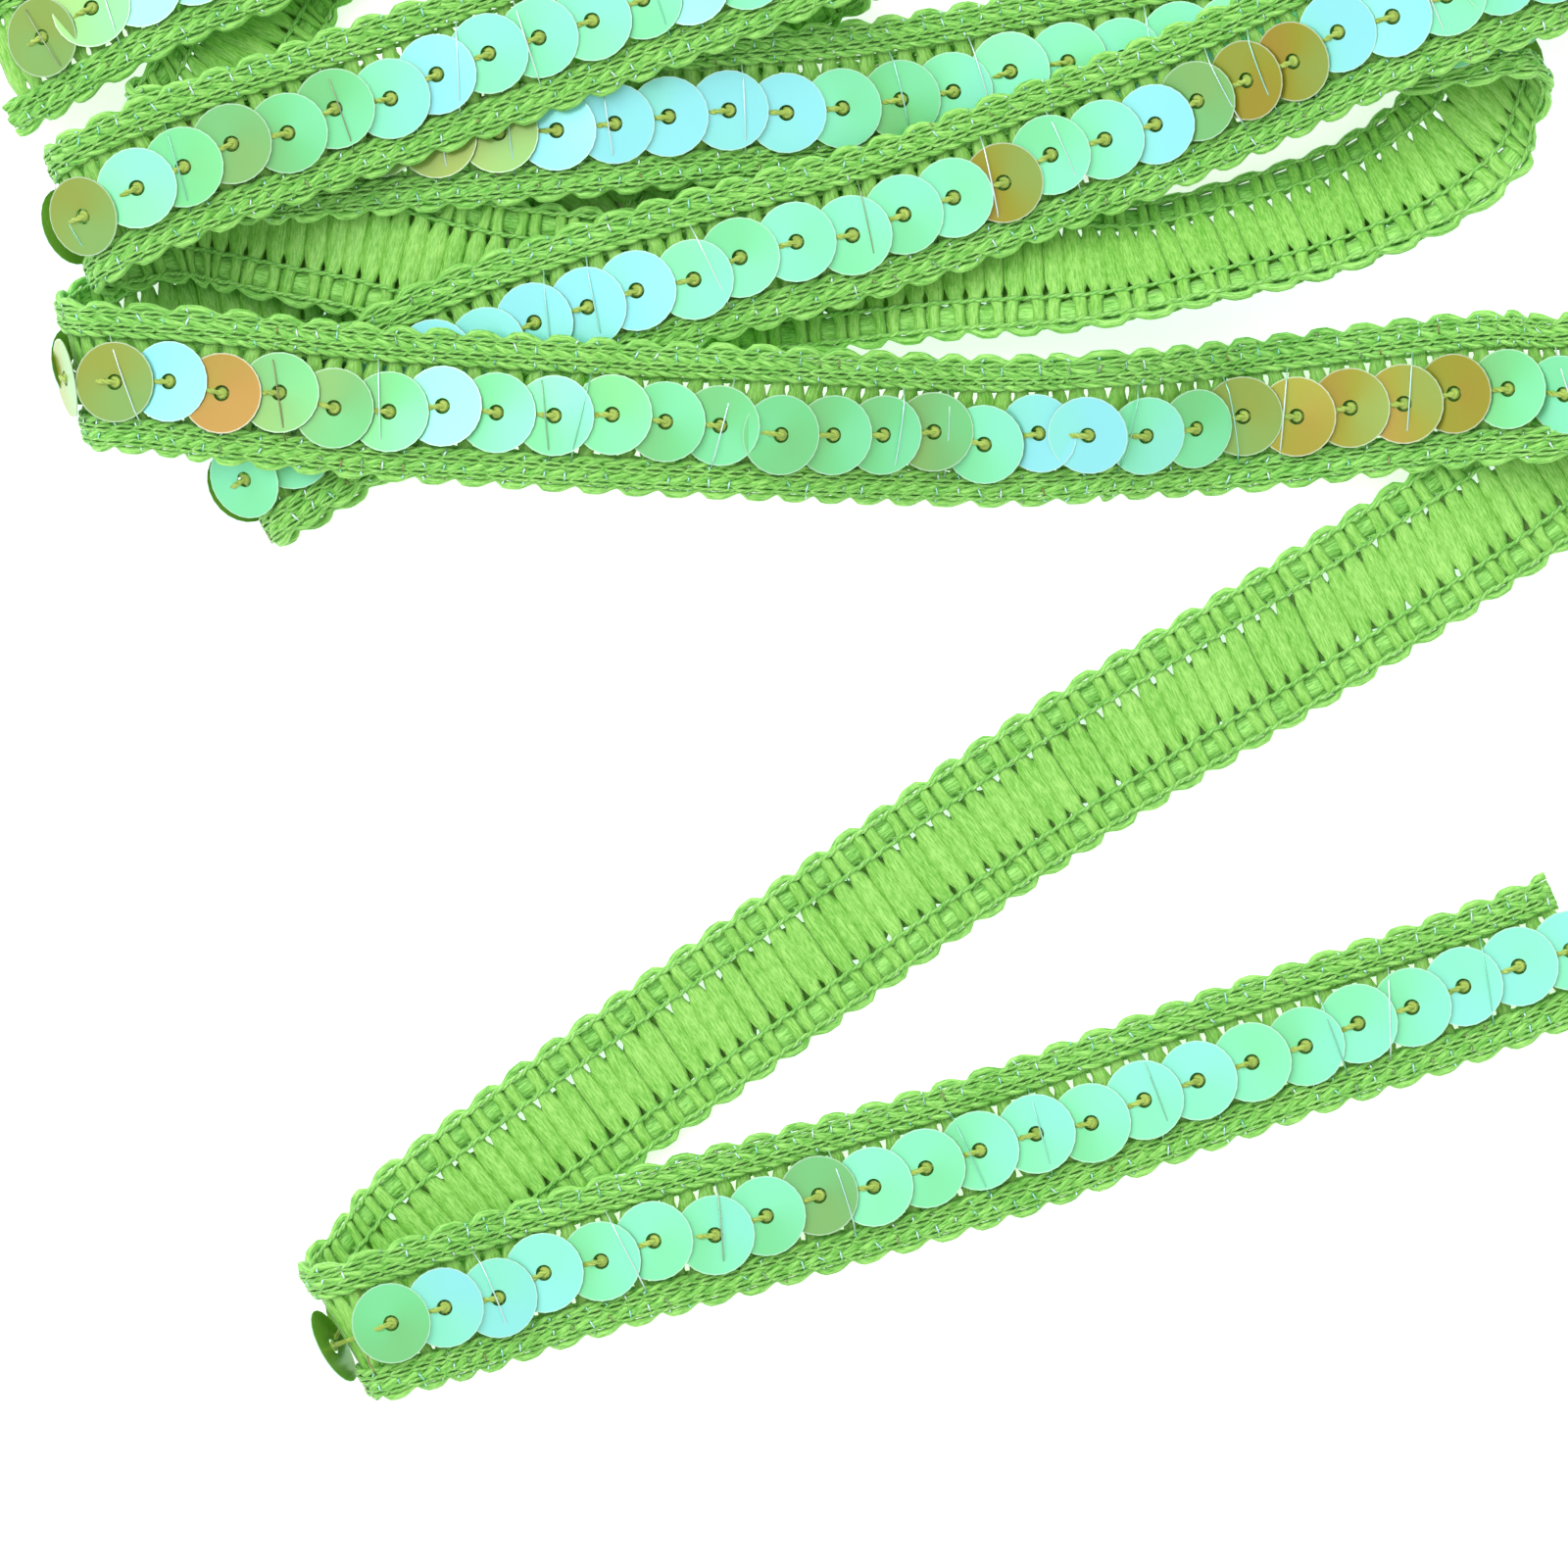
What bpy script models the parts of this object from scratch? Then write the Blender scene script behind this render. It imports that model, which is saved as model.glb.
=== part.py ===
"""A length of sequin trim: a knitted braid with a row of round sequins sewn along
its open middle, lying on a flat surface in the loose folds of a heap.

The trim is one band. It is laid out as runs, nearly straight stretches that lie face
up or back up, with a fold between each and the next. A run's plan is a smooth curve
through a few way points, and its height comes from what it lies on, so the runs stack
as cloth does. All lengths are millimetres until a mesh is made.
"""

from collections import namedtuple
from math import ceil, cos, pi, radians, sin

import bpy
import numpy as np

METRES = 0.001

# The band, across its width: two braids and the open web between them
BAND_WIDTH = 11.8
BRAID_WIDTH = 3.1
BRAID_THICKNESS = 1.2
EDGE_ROUNDING = 0.35
WEB_TOP = 0.25
WEB_STEP = 0.3

# The sequins, flat discs that overlap like shingles. The lift is from the band's
# mid-plane to the row's underside, and the stack is the row's thickness.
SEQUIN_DIAMETER = 6.0
SEQUIN_PITCH = 4.4
SEQUIN_LIFT = 0.9
SEQUIN_STACK = 0.4
ROW_GAP = 0.3

# How the runs lie: the gap between two layers, how far a rise in the heap spreads along
# a run, and the grid on which the heap's height is kept
LAYER_GAP = 0.35
DRAPE_REACH = 5
EDGE_MARGIN = 0.3
SAMPLES_ACROSS = 27
CELL = 1.0
FIELD_REACH = 90

# The plan's own origin lies this far from the middle of the whole heap
HEAP_MIDDLE = (1.88, 12.15)

# Steps along the band. Cross-lines swing round to a fold's crease over FOLD_EASE.
FINE_STEP = 1.0
RING_STEP = 4.0
FOLD_STEPS = 9
FOLD_EASE = 9.0
FOLD_TURN = radians(15)
MARK_GAP = 0.35
DISC_CORNERS = (0.0, 0.3, 0.7)
SHARP_EDGE = radians(40)

BRAID_COLOUR = (0.18, 0.60, 0.07)
BRAID_ROUGHNESS = 0.75
FILM_COLOUR = (0.35, 0.85, 0.62)
FILM_ROUGHNESS = 0.2

FACE_UP = 1
BACK_UP = -1

# side: which face looks up. layer: its turn when the heap is built up from the surface.
# starts: its first heading in degrees. loop: the height of the fold that it comes out of.
Run = namedtuple("Run", "name side layer starts loop")
RUNS = (
    Run("front", FACE_UP, 2, 204, 0.0),
    Run("slant", BACK_UP, 1, 44, 5.6),
    Run("middle", FACE_UP, 9, 187, 5.0),
    Run("under", BACK_UP, 3, 28, 7.0),
    Run("long", FACE_UP, 8, 205, 6.6),
    Run("cross", BACK_UP, 4, 30, 5.0),
    Run("top", FACE_UP, 11, 201, 8.0),
    Run("far", BACK_UP, 5, 14, 8.0),
    Run("rear", FACE_UP, 7, 187, 5.0),
    Run("corner", BACK_UP, 6, 45, 2.9),
    Run("last", FACE_UP, 10, 205, 4.0),
)

# x, y: a point that the run's middle line passes over. heading: its direction there in
# degrees. roll: how far the run leans there, left edge up.
Way = namedtuple("Way", "run x y heading roll")
WAYS = (
    Way("front", 59.2, -11.9, 204, 0),
    Way("front", 43.8, -17.5, 198, 0),
    Way("front", 26.3, -23.4, 200, 0),
    Way("front", 8.8, -29.2, 196, 0),
    Way("front", -8.8, -33.9, 195, 0),
    Way("front", -30.2, -40.3, 196, 0),
    Way("slant", -26.3, -33.0, 38, 0),
    Way("slant", -2.9, -15.9, 35, 0),
    Way("slant", 20.4, 0.3, 33, 0),
    Way("slant", 43.8, 14.6, 33, 0),
    Way("slant", 61.4, 27.4, 45, 0),
    Way("middle", 52.0, 29.5, 184, 0),
    Way("middle", 40.0, 28.2, 187, 0),
    Way("middle", 26.3, 26.8, 184, -18),
    Way("middle", 14.6, 26.3, 179, -14),
    Way("middle", -8.8, 27.0, 178, 0),
    Way("middle", -26.3, 28.0, 177, 0),
    Way("middle", -48.8, 30.1, 176, 0),
    Way("under", -29.2, 39.3, 15, 0),
    Way("under", 59.4, 63.2, 17, 0),
    Way("long", 43.8, 56.8, 203, 0),
    Way("long", 29.2, 50.4, 202, 0),
    Way("long", 14.6, 44.7, 202, 0),
    Way("long", -3.5, 39.1, 195, 0),
    Way("long", -20.4, 33.9, 199, 0),
    Way("long", -38.3, 24.0, 213, 0),
    Way("cross", -19.0, 39.0, 45, 0),
    Way("cross", 1.3, 61.6, 30, 0),
    Way("top", -14.8, 56.6, 201, 0),
    Way("top", -32.8, 50.1, 200, 0),
    Way("top", -49.2, 43.8, 206, 0),
    Way("far", -34.2, 41.0, -9, 0),
    Way("far", -21.9, 38.0, -10, 0),
    Way("far", -7.3, 37.1, 2, 0),
    Way("far", 14.6, 38.8, 3, -14),
    Way("far", 29.2, 39.6, 14, -40),
    Way("far", 42.0, 43.2, 22, -34),
    Way("far", 50.4, 48.2, 42, -22),
    Way("far", 52.9, 53.4, 64, 0),
    Way("rear", 42.0, 56.8, 182, 0),
    Way("rear", 24.8, 54.6, 189, 0),
    Way("rear", 7.9, 51.5, 189, 0),
    Way("rear", -8.8, 49.9, 186, 0),
    Way("rear", -44.6, 46.6, 186, 0),
    Way("corner", -35.2, 63.8, 43, 0),
    Way("last", -47.8, 59.2, 205, 18),
    Way("last", -59.6, 53.4, 206, 0),
)


def clear_scene():
    """Remove the objects that a new file starts with."""
    for thing in list(bpy.data.objects):
        bpy.data.objects.remove(thing, do_unlink=True)


def direction(heading):
    """A unit vector on the plan for a heading in degrees."""
    return np.array([cos(radians(heading)), sin(radians(heading))])


def unit(rows):
    """Each row scaled to a length of one."""
    return rows / np.linalg.norm(rows, axis=-1, keepdims=True)


def ease(t):
    """A smooth step from 0 to 1."""
    t = np.clip(t, 0.0, 1.0)
    return 3 * t**2 - 2 * t**3


def plan_piece(start, end):
    """A smooth curve on the plan from one way point to the next, about a step apart."""
    chord = np.linalg.norm(end[:2] - start[:2])
    count = max(2, ceil(chord / FINE_STEP))
    t = np.linspace(0.0, 1.0, count + 1)[:, None]
    leave = direction(start[2]) * chord
    arrive = direction(end[2]) * chord
    places = (
        (2 * t**3 - 3 * t**2 + 1) * start[:2]
        + (t**3 - 2 * t**2 + t) * leave
        + (3 * t**2 - 2 * t**3) * end[:2]
        + (t**3 - t**2) * arrive
    )
    rolls = start[3] + (end[3] - start[3]) * ease(t)
    return np.hstack([places, rolls])


def plan_run(run, first_place):
    """The run's middle line on the plan, with its roll: rows of x, y, roll."""
    stops = [np.array([way.x, way.y, way.heading, way.roll]) for way in WAYS if way.run == run.name]
    if first_place is not None:
        stops.insert(0, np.array([*first_place, run.starts, 0.0]))
    pieces = [plan_piece(a, b) for a, b in zip(stops, stops[1:])]
    return np.vstack([pieces[0]] + [piece[1:] for piece in pieces[1:]])


def fold_plan(arrives, leaves, loop):
    """Where a fold points, and how far it carries the band along its own crease."""
    into = direction(arrives)
    out = direction(leaves)
    nose = unit(into - out)
    crease = np.array([-nose[1], nose[0]])
    travel = into @ crease / (into @ nose)
    return nose, crease * travel * pi * loop / 2


def lay_plans():
    """Each run's middle line on the plan, each starting where the last fold lets it go."""
    plans = {}
    noses = {}
    place = None
    arrives = None
    for run in RUNS:
        if place is not None:
            nose, carry = fold_plan(arrives, run.starts, run.loop)
            place = place + carry
            noses[run.name] = nose
        plans[run.name] = plan_run(run, place)
        place = plans[run.name][-1, :2]
        arrives = [way.heading for way in WAYS if way.run == run.name][-1]
    return plans, noses


def across_samples():
    """Places across the band at which its height over the heap is tested."""
    edge = BAND_WIDTH / 2 + EDGE_MARGIN
    return np.linspace(-edge, edge, SAMPLES_ACROSS)


def reach(side, offset, upward):
    """How far the trim reaches above or below its mid-plane, at an offset from its middle line."""
    sequins = SEQUIN_LIFT + SEQUIN_STACK
    on_sequins = np.abs(offset) <= SEQUIN_DIAMETER / 2 + EDGE_MARGIN
    faces_there = side == (FACE_UP if upward else BACK_UP)
    return np.where(on_sequins & faces_there, sequins, BRAID_THICKNESS / 2)


def cells(places):
    """Grid indices of places on the plan."""
    index = np.round(places / CELL).astype(int) + FIELD_REACH
    return index[..., 0], index[..., 1]


def spread(line, offsets):
    """Points across the band, for each point of its middle line, with their rise by roll."""
    tangent = unit(np.gradient(line[:, :2], axis=0))
    left = np.stack([-tangent[:, 1], tangent[:, 0]], axis=1)
    lean = np.radians(line[:, 2])
    width = np.cos(lean)[:, None] * offsets
    places = line[:, None, :2] + width[..., None] * left[:, None, :]
    return places, np.sin(lean)[:, None] * offsets


def drape(needed):
    """The lowest smooth line that stays above what is needed: spread each peak, then average."""
    count = len(needed)
    padded = np.pad(needed, 2 * DRAPE_REACH, mode="edge")
    window = 2 * DRAPE_REACH + 1
    peaks = np.array([padded[i : i + window].max() for i in range(count + 2 * DRAPE_REACH)])
    return np.array([peaks[i : i + window].mean() for i in range(count)])


def lay_heights(plans):
    """The height of each run's middle line, built up in layers from the surface."""
    field = np.zeros((2 * FIELD_REACH + 1, 2 * FIELD_REACH + 1))
    heights = {}
    offsets = across_samples()
    order = {run.name: index for index, run in enumerate(RUNS)}
    for run in sorted(RUNS, key=lambda each: each.layer):
        line = plans[run.name]
        places, rise = spread(line, offsets)
        under = field[cells(places)]
        gap = np.where(under > 0, LAYER_GAP, 0.0)
        lean = np.cos(np.radians(line[:, 2]))[:, None]
        needed = (under + gap + reach(run.side, offsets, False) * lean - rise).max(axis=1)
        index = order[run.name]
        if index > 0 and RUNS[index - 1].name in heights:
            needed[:2] = np.maximum(needed[:2], heights[RUNS[index - 1].name][-1] + run.loop)
        if index + 1 < len(RUNS) and RUNS[index + 1].name in heights:
            following = RUNS[index + 1]
            needed[-2:] = np.maximum(needed[-2:], heights[following.name][0] + following.loop)
        heights[run.name] = drape(needed)
        tops = heights[run.name][:, None] + rise + reach(run.side, offsets, True) * lean
        np.maximum.at(field, cells(places), tops)
    return heights


def run_stations(run, line, height, nose_behind, nose_ahead):
    """Middle line, forward vector and face normal of a run: rows of nine numbers.

    The band's cross-lines are level but for its roll. Close to a fold they swing round
    to lie along the crease, square to the fold's nose.
    """
    middle = np.column_stack([line[:, :2], height])
    tangent = unit(np.gradient(middle, axis=0))
    facing = tangent.copy()
    if nose_behind is not None:
        near = ease(1 - np.arange(len(line)) * FINE_STEP / FOLD_EASE)[:, None]
        facing = facing + near * (np.array([*-nose_behind, 0.0]) - facing)
    if nose_ahead is not None:
        near = ease(1 - np.arange(len(line))[::-1] * FINE_STEP / FOLD_EASE)[:, None]
        facing = facing + near * (np.array([*nose_ahead, 0.0]) - facing)
    left = unit(np.cross(np.array([0.0, 0.0, 1.0]), facing))
    up = unit(np.cross(tangent, left))
    lean = np.radians(line[:, 2])[:, None]
    raised_left = left * np.cos(lean) + up * np.sin(lean)
    raised_up = up * np.cos(lean) - left * np.sin(lean)
    forward = np.cross(raised_left, raised_up)
    return np.hstack([middle, forward, run.side * raised_up])


def fold_stations(before, after, side, nose):
    """The turn between two runs: half a cylinder, from the end of one to the start of the next."""
    start, end = before[:3], after[:3]
    radius = abs(end[2] - start[2]) / 2
    climb = 1.0 if end[2] > start[2] else -1.0
    carry = np.array([end[0] - start[0], end[1] - start[1], 0.0])
    outward = np.array([nose[0], nose[1], 0.0])
    upward = np.array([0.0, 0.0, climb])
    rows = []
    for step in range(1, FOLD_STEPS):
        turn = pi * step / FOLD_STEPS
        place = start + carry * turn / pi + radius * sin(turn) * outward
        place = place + radius * (1 - cos(turn)) * upward
        forward = cos(turn) * outward + sin(turn) * upward
        radial = sin(turn) * outward - cos(turn) * upward
        rows.append(np.concatenate([place, forward, -climb * side * radial]))
    return np.array(rows)


def lay_trim():
    """Stations along the whole trim, their lengths, and the stations at the ends and fold crests."""
    plans, noses = lay_plans()
    heights = lay_heights(plans)
    rows = []
    apexes = [0]
    count = 0
    for index, run in enumerate(RUNS):
        following = RUNS[index + 1].name if index + 1 < len(RUNS) else None
        behind, ahead = noses.get(run.name), noses.get(following)
        here = run_stations(run, plans[run.name], heights[run.name], behind, ahead)
        if index > 0:
            turn = fold_stations(rows[-1][-1], here[0], RUNS[index - 1].side, noses[run.name])
            apexes.append(count + FOLD_STEPS // 2 - 1)
            rows.append(turn)
            count += len(turn)
        rows.append(here)
        count += len(here)
    apexes.append(count - 1)
    stations = np.vstack(rows)
    stations[:, :2] -= HEAP_MIDDLE
    steps = np.linalg.norm(np.diff(stations[:, :3], axis=0), axis=1)
    lengths = np.concatenate([[0.0], np.cumsum(steps)])
    return stations, lengths, apexes


def frames_at(stations, lengths, wanted):
    """Middle point, across vector and face normal at the wanted lengths along the trim."""
    columns = [np.interp(wanted, lengths, stations[:, i]) for i in range(9)]
    rows = np.stack(columns, axis=1)
    normal = unit(rows[:, 6:9])
    return rows[:, :3], unit(np.cross(normal, rows[:, 3:6])), normal


def sweep(name, frames, section_at, material):
    """A closed solid whose cross-section, given as (across, out) pairs, follows the frames."""
    middle, across, normal = frames
    rings = []
    for index in range(len(middle)):
        section = section_at(index)
        rings.append([middle[index] + w * across[index] + n * normal[index] for w, n in section])
    size = len(rings[0])
    points = [point * METRES for ring in rings for point in ring]
    faces = []
    for ring in range(len(rings) - 1):
        for corner in range(size):
            beside = (corner + 1) % size
            low, high = ring * size, (ring + 1) * size
            faces.append((low + corner, high + corner, high + beside, low + beside))
    faces.append(tuple(range(size)))
    last = (len(rings) - 1) * size
    faces.append(tuple(last + corner for corner in reversed(range(size))))
    mesh = bpy.data.meshes.new(name)
    mesh.from_pydata([tuple(point) for point in points], [], faces)
    mesh.shade_smooth()
    mesh.set_sharp_from_angle(angle=SHARP_EDGE)
    mesh.materials.append(material)
    thing = bpy.data.objects.new(name, mesh)
    bpy.context.scene.collection.objects.link(thing)
    return thing


def tape_section():
    """Two flat braids with rounded outer edges, joined by the thinner open web."""
    half = BAND_WIDTH / 2
    thick = BRAID_THICKNESS / 2
    inner = half - BRAID_WIDTH
    edge = EDGE_ROUNDING
    return [
        (-half, 0.0),
        (-half + edge, thick),
        (-inner - WEB_STEP, thick),
        (-inner, WEB_TOP),
        (inner, WEB_TOP),
        (inner + WEB_STEP, thick),
        (half - edge, thick),
        (half, 0.0),
        (half - edge, -thick),
        (-half + edge, -thick),
    ]


def turns_between(stations):
    """The angle by which the face turns from each station to the next."""
    cosines = (stations[1:, 6:9] * stations[:-1, 6:9]).sum(axis=1)
    return np.concatenate([[0.0], np.arccos(np.clip(cosines, -1.0, 1.0))])


def bend_lengths(stations, lengths):
    """The lengths of the stations round the folds."""
    return lengths[turns_between(stations) > FOLD_TURN]


def ring_lengths(stations, lengths):
    """Where the tape's rings go: far apart along a run, at each station round a fold."""
    turns = turns_between(stations)
    chosen = [0]
    turned = 0.0
    for index in range(1, len(lengths) - 1):
        turned += turns[index]
        if lengths[index] - lengths[chosen[-1]] >= RING_STEP or turned > FOLD_TURN:
            chosen.append(index)
            turned = 0.0
    return lengths[chosen + [len(lengths) - 1]]


def make_material(name, colour, roughness):
    """A plain finish for one sub-part."""
    material = bpy.data.materials.new(name)
    material.use_nodes = True
    shader = material.node_tree.nodes["Principled BSDF"]
    shader.inputs["Base Color"].default_value = (*colour, 1.0)
    shader.inputs["Roughness"].default_value = roughness
    return material


def make_tape(stations, lengths, material):
    """The knitted ground of the trim, one band from cut end to cut end."""
    frames = frames_at(stations, lengths, ring_lengths(stations, lengths))
    section = tape_section()
    sweep("trim_tape", frames, lambda index: section, material)


def disc_half_width(place, start, pitch):
    """Half the width of a row of overlapping discs at a place along it."""
    along = (place - start) % pitch
    off = min(abs(along - pitch / 2), SEQUIN_PITCH / 2)
    return ((SEQUIN_DIAMETER / 2) ** 2 - off**2) ** 0.5


def row_outline(start, end, bends):
    """Lengths and half widths of a sequin row: its discs and waists, and the steps of each bend."""
    count = max(1, int((end - start) / SEQUIN_PITCH))
    pitch = (end - start) / count
    marks = [end]
    for disc in range(count):
        marks += [start + (disc + part) * pitch for part in DISC_CORNERS]
    marks += [place for place in bends if start + MARK_GAP < place < end - MARK_GAP]
    marks.sort()
    kept = [marks[0]]
    for mark in marks[1:-1]:
        if mark - kept[-1] > MARK_GAP and end - mark > MARK_GAP:
            kept.append(mark)
    kept.append(end)
    return np.array(kept), [disc_half_width(mark, start, pitch) for mark in kept]


def make_sequin_row(run, stations, lengths, start, end, material):
    """The overlapping sequins of one run as one row, round the folds up to their crests."""
    bends = bend_lengths(stations, lengths)
    places, halves = row_outline(start + ROW_GAP / 2, end - ROW_GAP / 2, bends)
    frames = frames_at(stations, lengths, places)
    low, high = SEQUIN_LIFT, SEQUIN_LIFT + SEQUIN_STACK

    def section_at(index):
        half = halves[index]
        return [(-half, high), (half, high), (half, low), (-half, low)]

    sweep(f"sequins_{run.name}", frames, section_at, material)


def make_trim():
    """Build the tape and its rows of sequins."""
    stations, lengths, apexes = lay_trim()
    braid = make_material("braid_yarn", BRAID_COLOUR, BRAID_ROUGHNESS)
    film = make_material("sequin_film", FILM_COLOUR, FILM_ROUGHNESS)
    make_tape(stations, lengths, braid)
    for run, first, last in zip(RUNS, apexes, apexes[1:]):
        make_sequin_row(run, stations, lengths, lengths[first], lengths[last], film)


clear_scene()
make_trim()
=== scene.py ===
"""A length of lime green sequin trim, lying in the loose folds of a heap.

The band is knitted: weft yarns cross it from edge to edge and float over its open
middle, and rows of chain stitches and lengthwise yarns make its two borders. Round
film sequins are sewn along the middle of its face. Every yarn is drawn in places on
the band, which are along it, across it and out from it in millimetres, and is then
moved to where the band lies.
"""

from collections import namedtuple
from math import ceil, cos, pi, radians, sin

import bpy
import numpy as np
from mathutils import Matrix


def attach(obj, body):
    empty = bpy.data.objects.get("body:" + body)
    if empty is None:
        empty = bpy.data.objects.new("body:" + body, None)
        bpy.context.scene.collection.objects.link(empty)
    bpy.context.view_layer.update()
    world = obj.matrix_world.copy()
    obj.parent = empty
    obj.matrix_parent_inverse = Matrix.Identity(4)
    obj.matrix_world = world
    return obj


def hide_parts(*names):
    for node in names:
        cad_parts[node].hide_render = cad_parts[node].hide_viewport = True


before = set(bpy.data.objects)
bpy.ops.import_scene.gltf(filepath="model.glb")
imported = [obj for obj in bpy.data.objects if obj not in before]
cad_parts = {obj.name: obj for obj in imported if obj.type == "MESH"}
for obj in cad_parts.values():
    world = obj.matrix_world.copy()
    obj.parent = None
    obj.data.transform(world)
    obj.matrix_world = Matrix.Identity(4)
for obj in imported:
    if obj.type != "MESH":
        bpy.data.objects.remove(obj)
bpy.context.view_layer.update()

METRES = 0.001
OUT = np.array([0.0, 0.0, 1.0])

# The band, and how the heap of it lies
BAND_WIDTH = 11.8
BRAID_THICKNESS = 1.2
SEQUIN_DIAMETER = 6.0
SEQUIN_LIFT = 0.9
SEQUIN_STACK = 0.4
LAYER_GAP = 0.35
DRAPE_REACH = 5
EDGE_MARGIN = 0.3
SAMPLES_ACROSS = 27
CELL = 1.0
FIELD_REACH = 90
HEAP_MIDDLE = (1.88, 12.15)
FINE_STEP = 1.0
FOLD_STEPS = 27
FOLD_EASE = 9.0

FACE_UP = 1
BACK_UP = -1

# side: which face looks up. layer: its turn when the heap is built up from the surface.
# starts: its first heading in degrees. loop: the height of the fold that it comes out of.
Run = namedtuple("Run", "name side layer starts loop")
RUNS = (
    Run("front", FACE_UP, 2, 204, 0.0),
    Run("slant", BACK_UP, 1, 44, 5.6),
    Run("middle", FACE_UP, 9, 187, 5.0),
    Run("under", BACK_UP, 3, 28, 7.0),
    Run("long", FACE_UP, 8, 205, 6.6),
    Run("cross", BACK_UP, 4, 30, 5.0),
    Run("top", FACE_UP, 11, 201, 8.0),
    Run("far", BACK_UP, 5, 14, 8.0),
    Run("rear", FACE_UP, 7, 187, 5.0),
    Run("corner", BACK_UP, 6, 45, 2.9),
    Run("last", FACE_UP, 10, 205, 4.0),
)

# x, y: a point that the run's middle line passes over. heading: its direction there in
# degrees. roll: how far the run leans there, left edge up.
Way = namedtuple("Way", "run x y heading roll")
WAYS = (
    Way("front", 59.2, -11.9, 204, 0),
    Way("front", 43.8, -17.5, 198, 0),
    Way("front", 26.3, -23.4, 200, 0),
    Way("front", 8.8, -29.2, 196, 0),
    Way("front", -8.8, -33.9, 195, 0),
    Way("front", -30.2, -40.3, 196, 0),
    Way("slant", -26.3, -33.0, 38, 0),
    Way("slant", -2.9, -15.9, 35, 0),
    Way("slant", 20.4, 0.3, 33, 0),
    Way("slant", 43.8, 14.6, 33, 0),
    Way("slant", 61.4, 27.4, 45, 0),
    Way("middle", 52.0, 29.5, 184, 0),
    Way("middle", 40.0, 28.2, 187, 0),
    Way("middle", 26.3, 26.8, 184, -18),
    Way("middle", 14.6, 26.3, 179, -14),
    Way("middle", -8.8, 27.0, 178, 0),
    Way("middle", -26.3, 28.0, 177, 0),
    Way("middle", -48.8, 30.1, 176, 0),
    Way("under", -29.2, 39.3, 15, 0),
    Way("under", 59.4, 63.2, 17, 0),
    Way("long", 43.8, 56.8, 203, 0),
    Way("long", 29.2, 50.4, 202, 0),
    Way("long", 14.6, 44.7, 202, 0),
    Way("long", -3.5, 39.1, 195, 0),
    Way("long", -20.4, 33.9, 199, 0),
    Way("long", -38.3, 24.0, 213, 0),
    Way("cross", -19.0, 39.0, 45, 0),
    Way("cross", 1.3, 61.6, 30, 0),
    Way("top", -14.8, 56.6, 201, 0),
    Way("top", -32.8, 50.1, 200, 0),
    Way("top", -49.2, 43.8, 206, 0),
    Way("far", -34.2, 41.0, -9, 0),
    Way("far", -21.9, 38.0, -10, 0),
    Way("far", -7.3, 37.1, 2, 0),
    Way("far", 14.6, 38.8, 3, -14),
    Way("far", 29.2, 39.6, 14, -40),
    Way("far", 42.0, 43.2, 22, -34),
    Way("far", 50.4, 48.2, 42, -22),
    Way("far", 52.9, 53.4, 64, 0),
    Way("rear", 42.0, 56.8, 182, 0),
    Way("rear", 24.8, 54.6, 189, 0),
    Way("rear", 7.9, 51.5, 189, 0),
    Way("rear", -8.8, 49.9, 186, 0),
    Way("rear", -44.6, 46.6, 186, 0),
    Way("corner", -35.2, 63.8, 43, 0),
    Way("last", -47.8, 59.2, 205, 18),
    Way("last", -59.6, 53.4, 206, 0),
)

# The knit. Each pair of wefts makes one repeat, and the edge dips in at each pair.
WEFT_PITCH = 1.5
REPEAT = 2 * WEFT_PITCH
WEFT_END = 5.15
WEFT_STEPS = 13
WEB_HALF = 3.0
PAIR_PULL = 0.25
OUTER_CHAIN = 4.93
MIDDLE_CHAIN = 3.88
BROAD_INLAY = 4.42
INNER_INLAY = 3.34

# How the sequins are sewn on
SEQUIN_RADIUS = SEQUIN_DIAMETER / 2
HOLE_RADIUS = 0.6
SEQUIN_THICK = 0.10
SEQUIN_HEIGHT = 0.98
SEQUIN_STEP = 0.36
STEEPEST = radians(14)
SEQUIN_SIDES = 24
SEQUIN_SHIFT = 0.35
SHARP_EDGE = radians(35)

# start: the length along the trim of the first sequin of each run. pitch: their spacing.
Sewing = namedtuple("Sewing", "run start pitch")
SEWING = (
    Sewing("front", 0.4, 4.25),
    Sewing("slant", 99.3, 4.20),
    Sewing("middle", 224.3, 4.107),
    Sewing("under", 347.0, 4.20),
    Sewing("long", 471.0, 4.045),
    Sewing("cross", 588.0, 4.20),
    Sewing("top", 654.6, 4.00),
    Sewing("far", 720.0, 4.20),
    Sewing("rear", 838.2, 4.30),
    Sewing("corner", 943.0, 4.20),
    Sewing("last", 966.9, 4.07),
)

# The film's colours, as places on one scale
SKY, AQUA, MINT, SPRING, LEAF, OLIVE, GOLD, BRONZE = (step / 7 for step in range(8))

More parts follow.
